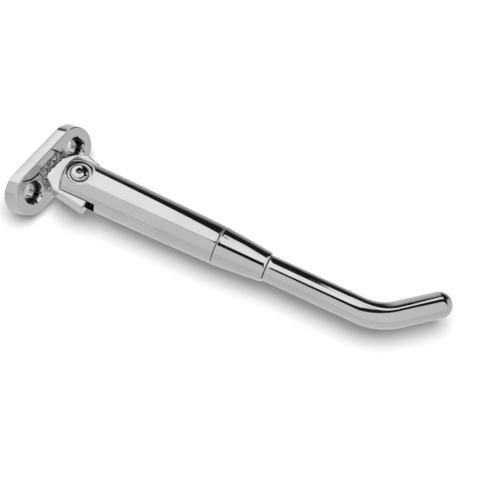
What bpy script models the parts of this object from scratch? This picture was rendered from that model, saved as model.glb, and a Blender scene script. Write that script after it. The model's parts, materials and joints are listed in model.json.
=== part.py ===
"""Motorcycle kickstand with an adjustable leg and a spring hidden inside it.

A two-bolt flange carries a welded lug. The forked upper end of the leg straddles the lug and swings on a
screw. A spring-loaded plunger inside the leg rides on the lug's rounded end and drops into a notch where
the leg is down or folded. A bent lower rod screws into the leg, and a conical collar locks it.

Frame, in metres: the origin is the centre of the flange's mounting face, +X is the way the lug reaches
out, +Y runs along the flange from bolt to bolt, and +Z is the hinge axis, towards the screw's head.
"""

import math

import bmesh
import bpy
from mathutils import Matrix, Vector

MM = 0.001
GAP = 0.3 * MM  # between two pieces that touch

# Attitude of the leg and the flange
LEG_ANGLE = math.radians(10.5)  # the leg at rest, from +X towards +Y
FLANGE_LEAN = math.radians(30)  # the flange's normal, from +X towards +Z
FOOT_BEND = math.radians(41)  # the foot, from the leg towards +Y

# Flange
FLANGE_THICKNESS = 11.1 * MM
FLANGE_END_RADIUS = 16.5 * MM
FLANGE_TOE = 2.4 * MM  # how much further the end towards -Y reaches at the mounting face
BOLT_PITCH = 46.8 * MM
BOLT_HOLE_RADIUS = 5.3 * MM
BOLT_HEAD_RADIUS = 8.2 * MM
BOLT_HEAD_DEPTH = 6.2 * MM
FLANGE_EDGE = 0.9 * MM

# Lug, in plan from the hinge axis
PIVOT_REACH = 20 * MM  # flange face to hinge axis, along the lug's middle plane
PIVOT_SIDE = 3.6 * MM  # the hinge axis from the flange's middle, towards +Y
PIVOT_RISE = 1 * MM  # the lug's middle plane from the flange's middle, up its face
LUG_THICKNESS = 9.5 * MM
LUG_EDGE = 1.5 * MM
LUG_CAM_RADIUS = 18 * MM
LUG_STOP_SIDE = 19.1 * MM  # the straight side, towards -Y
LUG_STOP_END = 17.1 * MM  # its corner, which meets the slot's root when the leg is down
LUG_SHOULDER_RADIUS = 19.7 * MM
NECK_STOP_SIDE = 12 * MM  # the neck's edge towards -Y, where it meets the flange
NECK_CAM_SIDE = 5.2 * MM  # and towards +Y
NECK_CAM_SPREAD = 4.5 * MM  # how much wider the lug is where its underside meets the leaning flange
NECK_FLARE = 0.52
LUG_NOTCH_DEPTH = 0.7 * MM
SWING_DOWN = math.radians(-18)  # from rest to the stop
SWING_UP = math.radians(75)  # from rest to folded

# Weld round the lug's neck
WELD_RADIUS = 3.2 * MM
UNDER_WELD_RADIUS = 1.7 * MM  # below the lug, where the folding leg passes close by
WELD_RIPPLE = 0.08
WELD_STEP = 1.6 * MM
WELD_VOXEL = 0.9 * MM

# Hinge stack, from the middle plane outwards
SCREW_RADIUS = 4 * MM
BUSH_RADIUS = 6 * MM
SLOT_HALF_HEIGHT = 5.45 * MM
THRUST_WASHER_RADIUS = 10.5 * MM
THRUST_WASHER_THICKNESS = 1 * MM
THRUST_RECESS_DEPTH = 0.9 * MM
RECESS_FLOOR = 9 * MM
RECESS_RADIUS = 9.3 * MM
RECESS_CHAMFER = 1.4 * MM
FLAT_WASHER_RADIUS = 8.7 * MM
FLAT_WASHER_THICKNESS = 1.4 * MM
SCREW_HEAD_RADIUS = 7 * MM
SCREW_HEAD_HEIGHT = 3.9 * MM
SCREW_SOCKET_ACROSS = 4.8 * MM
SCREW_SOCKET_DEPTH = 2.4 * MM
NUT_ACROSS_FLATS = 13 * MM
NUT_HEIGHT = 4 * MM

# Leg, along its axis from the hinge
LEG_END = -14 * MM
LEG_DOME_RADIUS = 26 * MM
LEG_RADIUS = 15.9 * MM
LEG_LOWER_RADIUS = 14.3 * MM
LEG_LENGTH = 110 * MM
SLOT_ROOT = 19.5 * MM
FORK_RELIEF_RADIUS = 15.1 * MM  # the lower fork arm's end, turned down to pass the flange and weld
SPRING_BORE_RADIUS = 7 * MM
SPRING_BORE_END = 66 * MM
THREAD_BORE_RADIUS = 9.2 * MM
COLLAR_END = 147.6 * MM
COLLAR_RADIUS = 14.4 * MM
COLLAR_SMALL_RADIUS = 11 * MM
ROD_RADIUS = 9.525 * MM
ROD_STEM_RADIUS = 8.8 * MM
ROD_STEM_START = 82 * MM
ROD_BEND_AT = 232.6 * MM
ROD_BEND_RADIUS = 38 * MM
FOOT_LENGTH = 53.5 * MM
FOOT_DOME_LENGTH = 6 * MM

# Plunger and spring, inside the leg
PLUNGER_RADIUS = 5 * MM
PLUNGER_SHOULDER = 34 * MM
PLUNGER_TAIL_END = 50 * MM
PLUNGER_TAIL_RADIUS = 2.4 * MM
GUIDE_LENGTH = 11 * MM
SPRING_MEAN_RADIUS = 4.2 * MM
SPRING_WIRE_RADIUS = 0.9 * MM
SPRING_TURNS = 8
PLUG_LENGTH = 9 * MM

FLANGE_NORMAL = Vector((math.cos(FLANGE_LEAN), 0, math.sin(FLANGE_LEAN)))
FLANGE_UP = Vector((-math.sin(FLANGE_LEAN), 0, math.cos(FLANGE_LEAN)))
FACE_CENTRE = FLANGE_NORMAL * FLANGE_THICKNESS
LUG_ROOT = FACE_CENTRE + FLANGE_UP * PIVOT_RISE + Vector((0, PIVOT_SIDE, 0))
PIVOT = LUG_ROOT + Vector((PIVOT_REACH, 0, 0))
FLANGE_FRAME = Matrix((Vector((0, 1, 0)), FLANGE_UP, FLANGE_NORMAL)).transposed().to_4x4()
ALONG_LEG = Matrix.Rotation(math.radians(90), 4, "Y")  # turns a piece's own Z to the leg's axis
UPSIDE_DOWN = Matrix.Rotation(math.radians(180), 4, "X")


def clear_scene():
    for obj in list(bpy.data.objects):
        bpy.data.objects.remove(obj)


def new_collection(name):
    collection = bpy.data.collections.new(name)
    bpy.context.scene.collection.children.link(collection)
    return collection


def metal(name, colour, roughness):
    material = bpy.data.materials.new(name)
    material.use_nodes = True
    shader = material.node_tree.nodes["Principled BSDF"]
    shader.inputs["Base Color"].default_value = (*colour, 1)
    shader.inputs["Metallic"].default_value = 1
    shader.inputs["Roughness"].default_value = roughness
    return material


def place(obj, collection, parent, matrix, material):
    """Links an object, hangs it on its parent at matrix, and gives it a material."""
    collection.objects.link(obj)
    obj.parent = parent
    obj.matrix_local = matrix
    if material:
        obj.data.materials.append(material)
    return obj


def empty_at(name, collection, matrix):
    empty = bpy.data.objects.new(name, None)
    empty.empty_display_size = 10 * MM
    collection.objects.link(empty)
    empty.matrix_world = matrix
    return empty


def smooth(mesh, sharp_angle=35):
    mesh.shade_smooth()
    mesh.set_sharp_from_angle(angle=math.radians(sharp_angle))


def arc(centre, radius, start, end, steps):
    """Points on an arc, angles in degrees, both ends included."""
    points = []
    for i in range(steps + 1):
        angle = math.radians(start + (end - start) * i / steps)
        points.append((centre[0] + radius * math.cos(angle), centre[1] + radius * math.sin(angle)))
    return points


def ring_profile(inner, outer, low, high):
    """The section of a washer or sleeve, as (radius, height) round its edge."""
    return [(outer, high), (outer, low), (inner, low), (inner, high)]


def turned_mesh(name, profile, closed=False):
    """A mesh of edges along a profile of (radius, height), which runs down its outer side."""
    count = len(profile)
    edges = [(i, i + 1) for i in range(count - 1)]
    if closed:
        edges.append((count - 1, 0))
    mesh = bpy.data.meshes.new(name)
    mesh.from_pydata([(radius, 0, height) for radius, height in profile], edges, [])
    return mesh


def turn(obj, steps):
    """Turns an object's profile round its own Z axis."""
    screw = obj.modifiers.new("turn", "SCREW")
    screw.axis = "Z"
    screw.steps = steps
    screw.render_steps = steps
    screw.use_merge_vertices = True
    screw.merge_threshold = 0.00001
    screw.use_smooth_shade = True
    return obj


def turned(name, profile, group, matrix, material, closed=False, steps=32):
    collection, parent = group
    mesh = turned_mesh(name, profile, closed)
    return turn(place(bpy.data.objects.new(name, mesh), collection, parent, matrix, material), steps)


def mesh_from_curve(name, curve):
    """The closed mesh of a curve, with its caps joined on."""
    helper = bpy.data.objects.new(name, curve)
    bpy.context.scene.collection.objects.link(helper)
    bpy.context.view_layer.update()
    graph = bpy.context.evaluated_depsgraph_get()
    mesh = bpy.data.meshes.new_from_object(helper.evaluated_get(graph))
    bpy.data.objects.remove(helper)
    bm = bmesh.new()
    bm.from_mesh(mesh)
    bmesh.ops.remove_doubles(bm, verts=bm.verts, dist=0.000001)
    bmesh.ops.recalc_face_normals(bm, faces=bm.faces)
    bm.to_mesh(mesh)
    bm.free()
    mesh.name = name
    return mesh


def plate_mesh(name, outline, thickness, rounding=0, resolution=1):
    """A flat plate with a closed outline and rounded edges, centred on its own XY plane."""
    curve = bpy.data.curves.new(name, "CURVE")
    curve.dimensions = "2D"
    curve.fill_mode = "BOTH"
    curve.extrude = thickness / 2 - rounding
    curve.bevel_depth = rounding
    curve.bevel_resolution = resolution
    curve.offset = -rounding
    spline = curve.splines.new("POLY")
    spline.points.add(len(outline) - 1)
    for point, (x, y) in zip(spline.points, outline):
        point.co = (x, y, 0, 1)
    spline.use_cyclic_u = True
    return mesh_from_curve(name, curve)


def rod_mesh(name, path, radii, resolution):
    """A round bar along a path, with its own radius at each point."""
    curve = bpy.data.curves.new(name, "CURVE")
    curve.dimensions = "3D"
    curve.bevel_depth = 1
    curve.bevel_resolution = resolution
    curve.use_fill_caps = True
    spline = curve.splines.new("POLY")
    spline.points.add(len(path) - 1)
    for point, place_at, radius in zip(spline.points, path, radii):
        point.co = (*place_at, 1)
        point.radius = radius
    return mesh_from_curve(name, curve)


def box_mesh(name, low, high):
    mesh = bpy.data.meshes.new(name)
    bm = bmesh.new()
    bmesh.ops.create_cube(bm, size=1)
    low = Vector(low)
    high = Vector(high)
    bmesh.ops.scale(bm, vec=high - low, verts=bm.verts)
    bmesh.ops.translate(bm, vec=(low + high) / 2, verts=bm.verts)
    bm.to_mesh(mesh)
    bm.free()
    return mesh


def post_mesh(name, radius, low, high, sides=32):
    """A prism with its axis on Z. Six sides give a hexagon, measured across its corners."""
    mesh = bpy.data.meshes.new(name)
    bm = bmesh.new()
    bmesh.ops.create_cone(
        bm, cap_ends=True, segments=sides, radius1=radius, radius2=radius, depth=high - low
    )
    bmesh.ops.translate(bm, vec=(0, 0, (low + high) / 2), verts=bm.verts)
    bm.to_mesh(mesh)
    bm.free()
    return mesh


def cutter(name, mesh, group, matrix=Matrix()):
    obj = place(bpy.data.objects.new(name, mesh), CUTTERS, group[1], matrix, None)
    obj.hide_render = True
    obj.display_type = "WIRE"
    return obj


def cut(obj, *cutters):
    for tool in cutters:
        boolean = obj.modifiers.new("cut " + tool.name, "BOOLEAN")
        boolean.operation = "DIFFERENCE"
        boolean.solver = "EXACT"
        boolean.object = tool


def round_edges(obj, width, segments=2, angle=40):
    bevel = obj.modifiers.new("edges", "BEVEL")
    bevel.width = width
    bevel.segments = segments
    bevel.limit_method = "ANGLE"
    bevel.angle_limit = math.radians(angle)
    bevel.use_clamp_overlap = True


def make_flange(group, chrome):
    """The two-bolt flange, a plate with round ends and two counterbored holes."""
    half = BOLT_PITCH / 2
    outline = arc((half - MM, 0), FLANGE_END_RADIUS, -90, 90, 20)
    outline += arc((-half, 0), FLANGE_END_RADIUS, 90, 270, 20)
    matrix = FLANGE_FRAME @ Matrix.Translation((0, 0, FLANGE_THICKNESS / 2))
    mesh = plate_mesh("mounting_flange", outline, FLANGE_THICKNESS, FLANGE_EDGE)
    for vertex in mesh.vertices:
        beyond = max(-vertex.co.x - half, 0) / FLANGE_END_RADIUS
        vertex.co.x -= FLANGE_TOE * beyond * (0.5 - vertex.co.z / FLANGE_THICKNESS)
    smooth(mesh)
    flange = place(bpy.data.objects.new("mounting_flange", mesh), group[0], group[1], matrix, chrome)
    face = FLANGE_THICKNESS / 2
    for side in (-1, 1):
        at = matrix @ Matrix.Translation((side * half, 0, 0))
        hole = post_mesh("bolt_hole", BOLT_HOLE_RADIUS, -face - MM, face + MM)
        head = post_mesh("bolt_head_recess", BOLT_HEAD_RADIUS, face - BOLT_HEAD_DEPTH, face + MM)
        cut(flange, cutter("bolt_hole_cutter", hole, group, at))
        cut(flange, cutter("bolt_head_cutter", head, group, at))
    return flange


def stop_side_at(x):
    """The flared neck's edge towards -Y, x mm from the hinge axis."""
    flange_edge = -PIVOT_REACH - LUG_THICKNESS / 2 * math.tan(FLANGE_LEAN)
    return NECK_STOP_SIDE + NECK_FLARE * (x - flange_edge)


def lug_outline(grow=0):
    """The lug in plan: a neck, a stop corner on the -Y side and a cam round the hinge on the +Y side."""
    root = -(PIVOT_REACH + FLANGE_THICKNESS)
    side = LUG_STOP_SIDE + grow
    flare_end = -12.5 * MM
    corner = 1.2 * MM
    outline = [(root, -stop_side_at(root) - grow), (flare_end, -stop_side_at(flare_end) - grow)]
    outline += [(flare_end + 3 * MM, -side), (LUG_STOP_END - corner + grow, -side)]
    outline += [(LUG_STOP_END + grow, -side + corner)]
    outline += arc((0, 0), LUG_CAM_RADIUS + grow, -28, 92, 24)
    outline += arc((0, 0), LUG_SHOULDER_RADIUS + grow, 108, 158, 8)
    outline += [(-21 * MM, NECK_CAM_SIDE + grow), (root, NECK_CAM_SIDE + grow)]
    return outline


def make_lug(group, chrome, flange_side):
    at_pivot = Matrix.Translation(PIVOT)
    mesh = plate_mesh("pivot_lug", lug_outline(), LUG_THICKNESS, LUG_EDGE, 2)
    smooth(mesh)
    lug = place(bpy.data.objects.new("pivot_lug", mesh), group[0], group[1], at_pivot, chrome)
    half = LUG_THICKNESS / 2 + MM
    bore = post_mesh("lug_bore", BUSH_RADIUS + GAP, -half, half)
    cut(lug, flange_side, cutter("lug_bore_cutter", bore, group, at_pivot))
    for angle in (LEG_ANGLE + SWING_DOWN, LEG_ANGLE + SWING_UP):
        reach = LUG_CAM_RADIUS + PLUNGER_RADIUS - LUG_NOTCH_DEPTH
        at_notch = at_pivot @ Matrix.Rotation(angle, 4, "Z") @ Matrix.Translation((reach, 0, 0))
        notch = post_mesh("cam_notch", PLUNGER_RADIUS, -half, half)
        cut(lug, cutter("cam_notch_cutter", notch, group, at_notch))
    return lug


def weld_path(side):
    """Round half of the neck, where it meets the flange: down one edge, across a face and up the other.

    Each point comes with the radius of the bead there.
    """
    low = side * GAP
    face = side * LUG_THICKNESS / 2
    tilt = math.tan(FLANGE_LEAN)
    face_radius = WELD_RADIUS if side > 0 else UNDER_WELD_RADIUS
    edge_radius = (WELD_RADIUS + face_radius) / 2

    def point(y, z, radius):
        return LUG_ROOT + Vector((-z * tilt, y, z)), radius

    def stop_side(z):
        return -stop_side_at(-PIVOT_REACH - z * tilt)

    def cam_side(z):
        return NECK_CAM_SIDE + NECK_CAM_SPREAD * max(-2 * z / LUG_THICKNESS, 0)

    start, end = stop_side(face), cam_side(face)
    path = [point(stop_side(low), low, WELD_RADIUS), point(start, face, edge_radius)]
    path += [point(start + (end - start) * share, face, face_radius) for share in (0.2, 0.8)]
    path += [point(end, face, edge_radius), point(cam_side(low), low, WELD_RADIUS)]
    return path


def bead_mesh(name, path):
    """Overlapping drops of weld metal along a path, evenly spaced and a little uneven in size."""
    bm = bmesh.new()
    count = 0
    for (start, start_radius), (end, end_radius) in zip(path, path[1:]):
        steps = max(1, round((end - start).length / WELD_STEP))
        for i in range(steps):
            share = i / steps
            ripple = 1 + WELD_RIPPLE * math.sin(2.3 * count)
            radius = (start_radius + (end_radius - start_radius) * share) * ripple
            at = Matrix.Translation(start.lerp(end, share))
            bmesh.ops.create_icosphere(bm, subdivisions=2, radius=radius, matrix=at)
            count += 1
    mesh = bpy.data.meshes.new(name)
    bm.to_mesh(mesh)
    bm.free()
    return mesh


def make_welds(group, weld, flange_side):
    """Two weld runs, one along each face of the lug's neck and half round its edges."""
    grown = plate_mesh("lug_keep_out", lug_outline(GAP), LUG_THICKNESS + 2 * GAP)
    keep_out = cutter("lug_keep_out", grown, group, Matrix.Translation(PIVOT))
    reach = 2 * FLANGE_THICKNESS + PIVOT_REACH
    for name, side in (("weld_run_upper", 1), ("weld_run_lower", -1)):
        run = place(
            bpy.data.objects.new(name, bead_mesh(name, weld_path(side))), group[0], group[1], Matrix(), weld
        )
        fuse = run.modifiers.new("fuse", "REMESH")
        fuse.mode = "VOXEL"
        fuse.voxel_size = WELD_VOXEL
        fuse.use_smooth_shade = True
        low, high = sorted((side * GAP / 2, -side * reach))
        other_half = box_mesh(name, (-reach, -reach, low), (reach, reach, high))
        split = cutter(name + "_other_half", other_half, group, Matrix.Translation(LUG_ROOT))
        cut(run, split, flange_side, keep_out)


def leg_profile():
    """The leg's section as (radius, distance from the hinge), from its bore round its lower end to its top."""
    profile = [(0, SLOT_ROOT - 4 * MM), (SPRING_BORE_RADIUS, SLOT_ROOT - 4 * MM)]
    profile += [(SPRING_BORE_RADIUS, SPRING_BORE_END), (THREAD_BORE_RADIUS, SPRING_BORE_END)]
    profile += [(THREAD_BORE_RADIUS, LEG_LENGTH), (LEG_LOWER_RADIUS - MM, LEG_LENGTH)]
    profile += [(LEG_LOWER_RADIUS - 0.3 * MM, LEG_LENGTH - 0.3 * MM), (LEG_LOWER_RADIUS, LEG_LENGTH - MM)]
    shoulder_at = LEG_END + LEG_DOME_RADIUS - math.sqrt(LEG_DOME_RADIUS**2 - LEG_RADIUS**2)
    taper_steps = 5
    for i in range(1, taper_steps + 1):
        share = i / taper_steps
        bulge = 0.35 * MM * math.sin(math.pi * share)
        radius = LEG_LOWER_RADIUS + (LEG_RADIUS - 0.2 * MM - LEG_LOWER_RADIUS) * share + bulge
        profile.append((radius, LEG_LENGTH - MM + (shoulder_at + MM - LEG_LENGTH) * share))
    dome_steps = 6
    edge_angle = math.asin((LEG_RADIUS - 1.2 * MM) / LEG_DOME_RADIUS)
    for i in range(dome_steps + 1):
        angle = edge_angle * (1 - i / dome_steps)
        height = LEG_END + LEG_DOME_RADIUS * (1 - math.cos(angle))
        profile.append((LEG_DOME_RADIUS * math.sin(angle), height))
    return profile


def rim_chamfer_mesh(name, steps=32):
    """A ring with a triangular section that follows the rim of the recess round the leg's curved surface."""
    bm = bmesh.new()
    rings = []
    for i in range(steps):
        angle = 2 * math.pi * i / steps
        section = []
        for radius, rise in ((RECESS_RADIUS, -RECESS_CHAMFER), (RECESS_RADIUS + RECESS_CHAMFER, 0)):
            surface = math.sqrt(LEG_RADIUS**2 - (radius * math.sin(angle)) ** 2)
            section.append((radius, surface + rise))
        slope = (section[1][1] - section[0][1]) / RECESS_CHAMFER
        inner = (section[0][0] - MM, section[0][1] - slope * MM)
        outer = (section[1][0] + MM, section[1][1] + slope * MM)
        top = (inner[0], outer[1] + MM)
        ring = [bm.verts.new((r * math.cos(angle), r * math.sin(angle), z)) for r, z in (inner, outer, top)]
        rings.append(ring)
    for ring, following in zip(rings, rings[1:] + rings[:1]):
        for i in range(3):
            bm.faces.new((ring[i], ring[i - 1], following[i - 1], following[i]))
    bmesh.ops.recalc_face_normals(bm, faces=bm.faces)
    mesh = bpy.data.meshes.new(name)
    bm.to_mesh(mesh)
    bm.free()
    return mesh


def fork_relief(group):
    """What is cut from the lower fork arm's end: all that lies outside a turned clearance shape."""
    wide = LEG_RADIUS + 2 * MM
    low = -LEG_RADIUS - MM
    block = box_mesh("fork_relief", (-wide, -wide, low), (0, wide, -SLOT_HALF_HEIGHT))
    relief = cutter("fork_relief_cutter", block, group)
    tilt = math.tan(FLANGE_LEAN)
    plane = PIVOT.dot(FLANGE_NORMAL) - FLANGE_THICKNESS
    reach = plane / math.cos(FLANGE_LEAN) - 0.5 * MM
    bottom = low - MM
    knee = (FORK_RELIEF_RADIUS - reach) / tilt
    profile = [(0, 0), (FORK_RELIEF_RADIUS, 0), (FORK_RELIEF_RADIUS, knee)]
    profile += [(reach + bottom * tilt, bottom), (0, bottom)]
    kept = place(
        bpy.data.objects.new("fork_clearance", turned_mesh("fork_clearance", profile)),
        CUTTERS, group[1], Matrix(), None
    )
    kept.hide_render = True
    cut(relief, turn(kept, 40))
    return relief


def make_leg(group, chrome):
    """The forked upper leg: turned, slotted for the lug, and bored for the screw, plunger and rod."""
    leg = turned("leg_housing", leg_profile(), group, ALONG_LEG, chrome, steps=40)
    wide = LEG_RADIUS + 2 * MM
    slot = box_mesh("slot", (-wide, -wide, -SLOT_HALF_HEIGHT), (SLOT_ROOT, wide, SLOT_HALF_HEIGHT))
    hole = post_mesh("screw_hole", SCREW_RADIUS + GAP, -wide, wide)
    floor = SLOT_HALF_HEIGHT + THRUST_RECESS_DEPTH
    washers = post_mesh("thrust_recess", THRUST_WASHER_RADIUS + GAP, -floor, floor)
    cut(leg, cutter("slot_cutter", slot, group), cutter("screw_hole_cutter", hole, group))
    cut(leg, cutter("thrust_recess_cutter", washers, group))
    cut(leg, fork_relief(group))
    for name, matrix in (("head_recess", Matrix()), ("nut_recess", UPSIDE_DOWN)):
        recess = post_mesh(name, RECESS_RADIUS, RECESS_FLOOR, wide)
        cut(leg, cutter(name + "_cutter", recess, group, matrix))
        chamfer = rim_chamfer_mesh(name + "_chamfer")
        cut(leg, cutter(name + "_chamfer_cutter", chamfer, group, matrix))


def button_head_profile():
    """The pivot screw's section as (radius, height), from its head's top down its outer side."""
    base = RECESS_FLOOR + GAP + FLAT_WASHER_THICKNESS + GAP
    profile = []
    steps = 7
    for i in range(steps + 1):
        angle = math.radians(90) * i / steps
        radius = SCREW_HEAD_RADIUS * (0.45 * math.sin(angle) + 0.55 * math.sin(angle) ** 2)
        profile.append((radius, base + 0.7 * MM + (SCREW_HEAD_HEIGHT - 0.7 * MM) * math.cos(angle)))
    end = -(base + NUT_HEIGHT + 0.6 * MM)
    profile += [(SCREW_HEAD_RADIUS, base), (SCREW_RADIUS, base), (SCREW_RADIUS, end + 0.6 * MM)]
    profile += [(SCREW_RADIUS - 0.6 * MM, end), (0, end)]
    return profile


def make_pivot(group, steel, chrome, bronze):
    """The hinge screw, with a flat washer at each end and a thrust washer on each side of the lug."""
    screw = turned("pivot_screw", button_head_profile(), group, Matrix(), chrome)
    base = RECESS_FLOOR + GAP + FLAT_WASHER_THICKNESS + GAP
    top = base + SCREW_HEAD_HEIGHT
    corner = SCREW_SOCKET_ACROSS / math.sqrt(3)
    socket = post_mesh("hex_socket", corner, top - SCREW_SOCKET_DEPTH, top + MM, 6)
    cut(screw, cutter("hex_socket_cutter", socket, group))

    flat = ring_profile(SCREW_RADIUS + GAP, FLAT_WASHER_RADIUS, 0, FLAT_WASHER_THICKNESS)
    thrust = ring_profile(BUSH_RADIUS + GAP, THRUST_WASHER_RADIUS, 0, THRUST_WASHER_THICKNESS)
    flat_at = Matrix.Translation((0, 0, RECESS_FLOOR + GAP))
    thrust_at = Matrix.Translation((0, 0, LUG_THICKNESS / 2 + GAP))
    turned("screw_washer", flat, group, flat_at, steel, closed=True)
    turned("nut_washer", flat, group, UPSIDE_DOWN @ flat_at, steel, closed=True)
    turned("thrust_washer_upper", thrust, group, thrust_at, bronze, closed=True)
    turned("thrust_washer_lower", thrust, group, UPSIDE_DOWN @ thrust_at, bronze, closed=True)


def make_nut(group, steel):
    low = RECESS_FLOOR + GAP + FLAT_WASHER_THICKNESS + GAP
    corner = NUT_ACROSS_FLATS / math.sqrt(3)
    mesh = post_mesh("pivot_locknut", corner, low, low + NUT_HEIGHT, 6)
    nut = place(bpy.data.objects.new("pivot_locknut", mesh), group[0], group[1], UPSIDE_DOWN, steel)
    round_edges(nut, 0.5 * MM, 1)
    hole = post_mesh("nut_hole", SCREW_RADIUS + GAP, low - MM, low + NUT_HEIGHT + MM)
    cut(nut, cutter("nut_hole_cutter", hole, group, UPSIDE_DOWN))


def make_bush(group, bronze):
    half = LUG_THICKNESS / 2
    profile = ring_profile(SCREW_RADIUS + GAP, BUSH_RADIUS, -half, half)
    turned("pivot_bush", profile, group, Matrix.Translation(PIVOT), bronze, closed=True)


def make_plunger(group, hardened):
    """The plunger: a round nose on the lug's cam, a body in its guide, and a tail inside the spring."""
    tip = LUG_CAM_RADIUS + GAP
    profile = [(0, PLUNGER_TAIL_END), (PLUNGER_TAIL_RADIUS - 0.4 * MM, PLUNGER_TAIL_END)]
    profile += [(PLUNGER_TAIL_RADIUS, PLUNGER_TAIL_END - 0.4 * MM)]
    profile += [(PLUNGER_TAIL_RADIUS, PLUNGER_SHOULDER), (PLUNGER_RADIUS, PLUNGER_SHOULDER)]
    nose = 3 * MM
    steps = 6
    for i in range(steps + 1):
        angle = math.radians(90) * i / steps
        profile.append((PLUNGER_RADIUS * math.cos(angle), tip + nose * (1 - math.sin(angle))))
    turned("cam_plunger", profile, group, ALONG_LEG, hardened)


def make_guide(group, bronze):
    low = SLOT_ROOT + GAP
    profile = ring_profile(PLUNGER_RADIUS + GAP, SPRING_BORE_RADIUS - GAP, low, low + GUIDE_LENGTH)
    turned("plunger_guide", profile, group, ALONG_LEG, bronze, closed=True)


def make_spring(group, steel):
    """The coil between the plunger's shoulder and the seat washer."""
    start = PLUNGER_SHOULDER + GAP + SPRING_WIRE_RADIUS
    end = SPRING_BORE_END - GAP - SPRING_WIRE_RADIUS
    per_turn = 12
    count = SPRING_TURNS * per_turn
    path = []
    for i in range(count + 1):
        angle = 2 * math.pi * i / per_turn
        turned_share = min(max((i - per_turn) / (count - 2 * per_turn), 0), 1)
        closed_pitch = 2.1 * SPRING_WIRE_RADIUS
        run = closed_pitch * (min(i, per_turn) + max(i - count + per_turn, 0)) / per_turn
        x = start + run + (end - start - 2 * closed_pitch) * turned_share
        y = SPRING_MEAN_RADIUS * math.cos(angle)
        z = SPRING_MEAN_RADIUS * math.sin(angle)
        path.append((x, y, z))
    mesh = rod_mesh("plunger_spring", path, [SPRING_WIRE_RADIUS] * len(path), 1)
    smooth(mesh)
    place(bpy.data.objects.new("plunger_spring", mesh), group[0], group[1], Matrix(), steel)


def make_seat_and_plug(group, steel):
    """The washer that the spring bears on, and the threaded plug that sets its preload."""
    low = SPRING_BORE_END + GAP
    washer_end = low + 1.5 * MM
    washer = ring_profile(2.5 * MM, THREAD_BORE_RADIUS - GAP, low, washer_end)
    turned("spring_seat_washer", washer, group, ALONG_LEG, steel, closed=True)
    plug_low = washer_end + GAP
    radius = THREAD_BORE_RADIUS - GAP
    bevel = 0.8 * MM
    top = plug_low + PLUG_LENGTH
    profile = [(0, top), (radius - bevel, top), (radius, top - bevel), (radius, plug_low + bevel)]
    profile += [(radius - bevel, plug_low), (0, plug_low)]
    plug = turned("preload_plug", profile, group, ALONG_LEG, steel)
    socket = post_mesh("plug_socket", 8 * MM / math.sqrt(3), top - 5 * MM, top + MM, 6)
    cut(plug, cutter("plug_socket_cutter", socket, group, ALONG_LEG))


def make_collar(group, chrome):
    """The conical locking collar, whose large end bears on the leg."""
    low = LEG_LENGTH + GAP
    bevel = 0.4 * MM
    shoulder = low + 6 * MM
    profile = [(COLLAR_SMALL_RADIUS - bevel, COLLAR_END), (COLLAR_SMALL_RADIUS, COLLAR_END - bevel)]
    profile += [(COLLAR_RADIUS - 0.15 * MM, shoulder), (COLLAR_RADIUS, low + bevel)]
    profile += [(COLLAR_RADIUS - bevel, low), (THREAD_BORE_RADIUS, low), (THREAD_BORE_RADIUS, COLLAR_END)]
    turned("lock_collar", profile, group, ALONG_LEG, chrome, closed=True, steps=40)


def rod_path():
    """The lower rod's centre line in the leg's own frame, with its radius at each point."""
    shoulder = COLLAR_END + GAP
    bevel = 0.5 * MM
    stations = [(ROD_STEM_START, ROD_STEM_RADIUS - bevel), (ROD_STEM_START + bevel, ROD_STEM_RADIUS)]
    stations += [(shoulder - 0.01 * MM, ROD_STEM_RADIUS), (shoulder, ROD_RADIUS - bevel)]
    stations += [(shoulder + bevel, ROD_RADIUS)]
    path = [Vector((x, 0, 0)) for x, _ in stations]
    radii = [radius for _, radius in stations]
    tangent = ROD_BEND_RADIUS * math.tan(FOOT_BEND / 2)
    bend_start = ROD_BEND_AT - tangent
    bend_steps = 12
    for i in range(bend_steps + 1):
        angle = FOOT_BEND * i / bend_steps
        x = bend_start + ROD_BEND_RADIUS * math.sin(angle)
        y = ROD_BEND_RADIUS * (1 - math.cos(angle))
        path.append(Vector((x, y, 0)))
        radii.append(ROD_RADIUS)
    foot_way = Vector((math.cos(FOOT_BEND), math.sin(FOOT_BEND), 0))
    vertex = Vector((ROD_BEND_AT, 0, 0))
    dome_steps = 7
    for i in range(dome_steps + 1):
        angle = math.radians(90) * i / dome_steps * 0.97
        along = FOOT_LENGTH - FOOT_DOME_LENGTH * (1 - math.sin(angle))
        path.append(vertex + foot_way * along)
        radii.append(ROD_RADIUS * (0.35 + 0.65 * math.cos(angle)))
    path.append(vertex + foot_way * (FOOT_LENGTH + 0.05 * MM))
    radii.append(ROD_RADIUS * 0.15)
    return path, radii


def make_rod(group, chrome):
    path, radii = rod_path()
    mesh = rod_mesh("lower_rod", path, radii, 8)
    smooth(mesh)
    place(bpy.data.objects.new("lower_rod", mesh), group[0], group[1], Matrix(), chrome)


clear_scene()
KICKSTAND = new_collection("kickstand")
CUTTERS = new_collection("cutters")

CHROME = metal("chrome", (0.8, 0.8, 0.82), 0.06)
WELD = metal("chromed_weld", (0.7, 0.7, 0.72), 0.3)
STEEL = metal("zinc_steel", (0.55, 0.56, 0.58), 0.3)
HARDENED = metal("hardened_steel", (0.35, 0.35, 0.37), 0.25)
SPRING = metal("spring_steel", (0.25, 0.25, 0.27), 0.35)
BRONZE = metal("bronze", (0.6, 0.4, 0.18), 0.35)

mount = (KICKSTAND, empty_at("mount", KICKSTAND, Matrix()))
leg_pivot = empty_at(
    "leg_pivot", KICKSTAND, Matrix.Translation(PIVOT) @ Matrix.Rotation(LEG_ANGLE, 4, "Z")
)
leg = (KICKSTAND, leg_pivot)

behind = box_mesh("flange_side", (-80 * MM, -80 * MM, -80 * MM), (80 * MM, 80 * MM, GAP))
flange_side = cutter(
    "flange_side_cutter", behind, mount, Matrix.Translation(FACE_CENTRE) @ FLANGE_FRAME
)

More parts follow.
